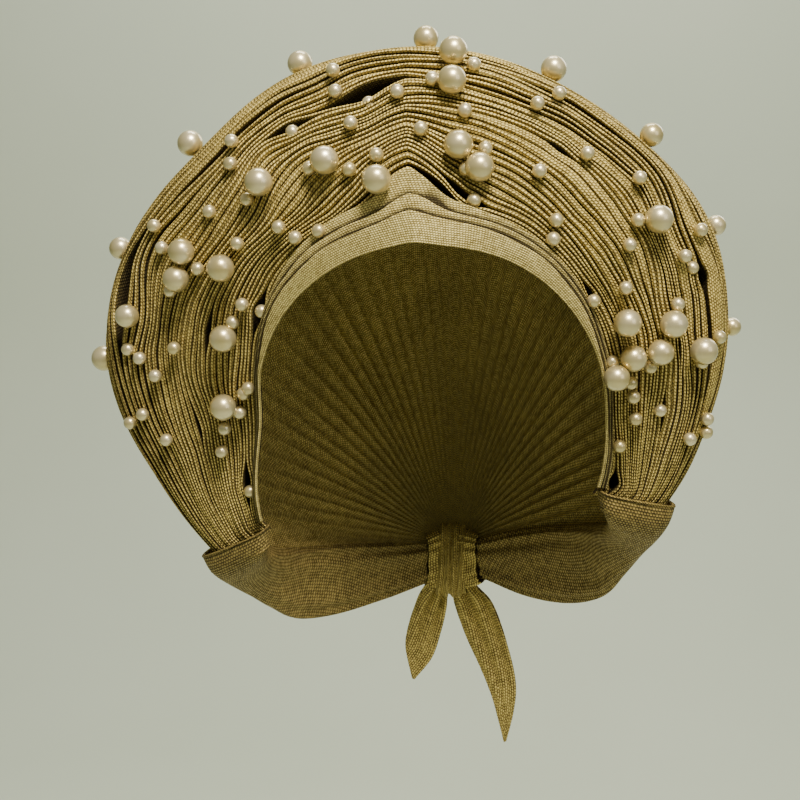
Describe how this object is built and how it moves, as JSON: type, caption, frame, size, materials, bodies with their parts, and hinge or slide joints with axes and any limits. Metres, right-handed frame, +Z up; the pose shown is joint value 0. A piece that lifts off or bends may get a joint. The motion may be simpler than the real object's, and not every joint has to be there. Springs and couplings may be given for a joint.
{
  "type": "tied gele head tie",
  "caption": "Stiff woven head tie with fine pleats standing round the face as a halo, imitation pearls sewn on, wrapped and knotted at the nape.",
  "frame": {"origin": "middle of the wearer's head at the level where the tie sits, between the brow and the tops of the ears", "axes": "+Z up, -Y the way the wearer's face looks, +X the wearer's left"},
  "size_m": [0.2931, 0.1882, 0.3593],
  "materials": {
    "woven_cloth": "stiff khaki gold basket weave with a faint metallic sheen",
    "imitation_pearl": "glossy ivory pearl coating"
  },
  "bodies": {
    "root": {"forehead_fold_lower": "woven_cloth", "forehead_fold_middle": "woven_cloth", "forehead_fold_upper": "woven_cloth", "pleated_halo": "woven_cloth", "crown_cover": "woven_cloth", "left_wrap": "woven_cloth", "right_wrap": "woven_cloth", "nape_knot": "woven_cloth", "tail_long": "woven_cloth", "tail_short": "woven_cloth", "large_pearl_1": "imitation_pearl", "large_pearl_2": "imitation_pearl", "large_pearl_3": "imitation_pearl", "large_pearl_4": "imitation_pearl", "large_pearl_5": "imitation_pearl", "large_pearl_6": "imitation_pearl", "large_pearl_7": "imitation_pearl", "large_pearl_8": "imitation_pearl", "large_pearl_9": "imitation_pearl", "large_pearl_10": "imitation_pearl", "large_pearl_11": "imitation_pearl", "large_pearl_12": "imitation_pearl", "large_pearl_13": "imitation_pearl", "large_pearl_14": "imitation_pearl", "large_pearl_15": "imitation_pearl", "large_pearl_16": "imitation_pearl", "large_pearl_17": "imitation_pearl", "large_pearl_18": "imitation_pearl", "large_pearl_19": "imitation_pearl", "large_pearl_20": "imitation_pearl", "large_pearl_21": "imitation_pearl", "large_pearl_22": "imitation_pearl", "large_pearl_23": "imitation_pearl", "large_pearl_24": "imitation_pearl", "large_pearl_25": "imitation_pearl", "large_pearl_26": "imitation_pearl", "large_pearl_27": "imitation_pearl", "large_pearl_28": "imitation_pearl", "large_pearl_29": "imitation_pearl", "small_pearl_1": "imitation_pearl", "small_pearl_2": "imitation_pearl", "small_pearl_3": "imitation_pearl", "small_pearl_4": "imitation_pearl", "small_pearl_5": "imitation_pearl", "small_pearl_6": "imitation_pearl", "small_pearl_7": "imitation_pearl", "small_pearl_8": "imitation_pearl", "small_pearl_9": "imitation_pearl", "small_pearl_10": "imitation_pearl", "small_pearl_11": "imitation_pearl"}
  },
  "joints": []
}
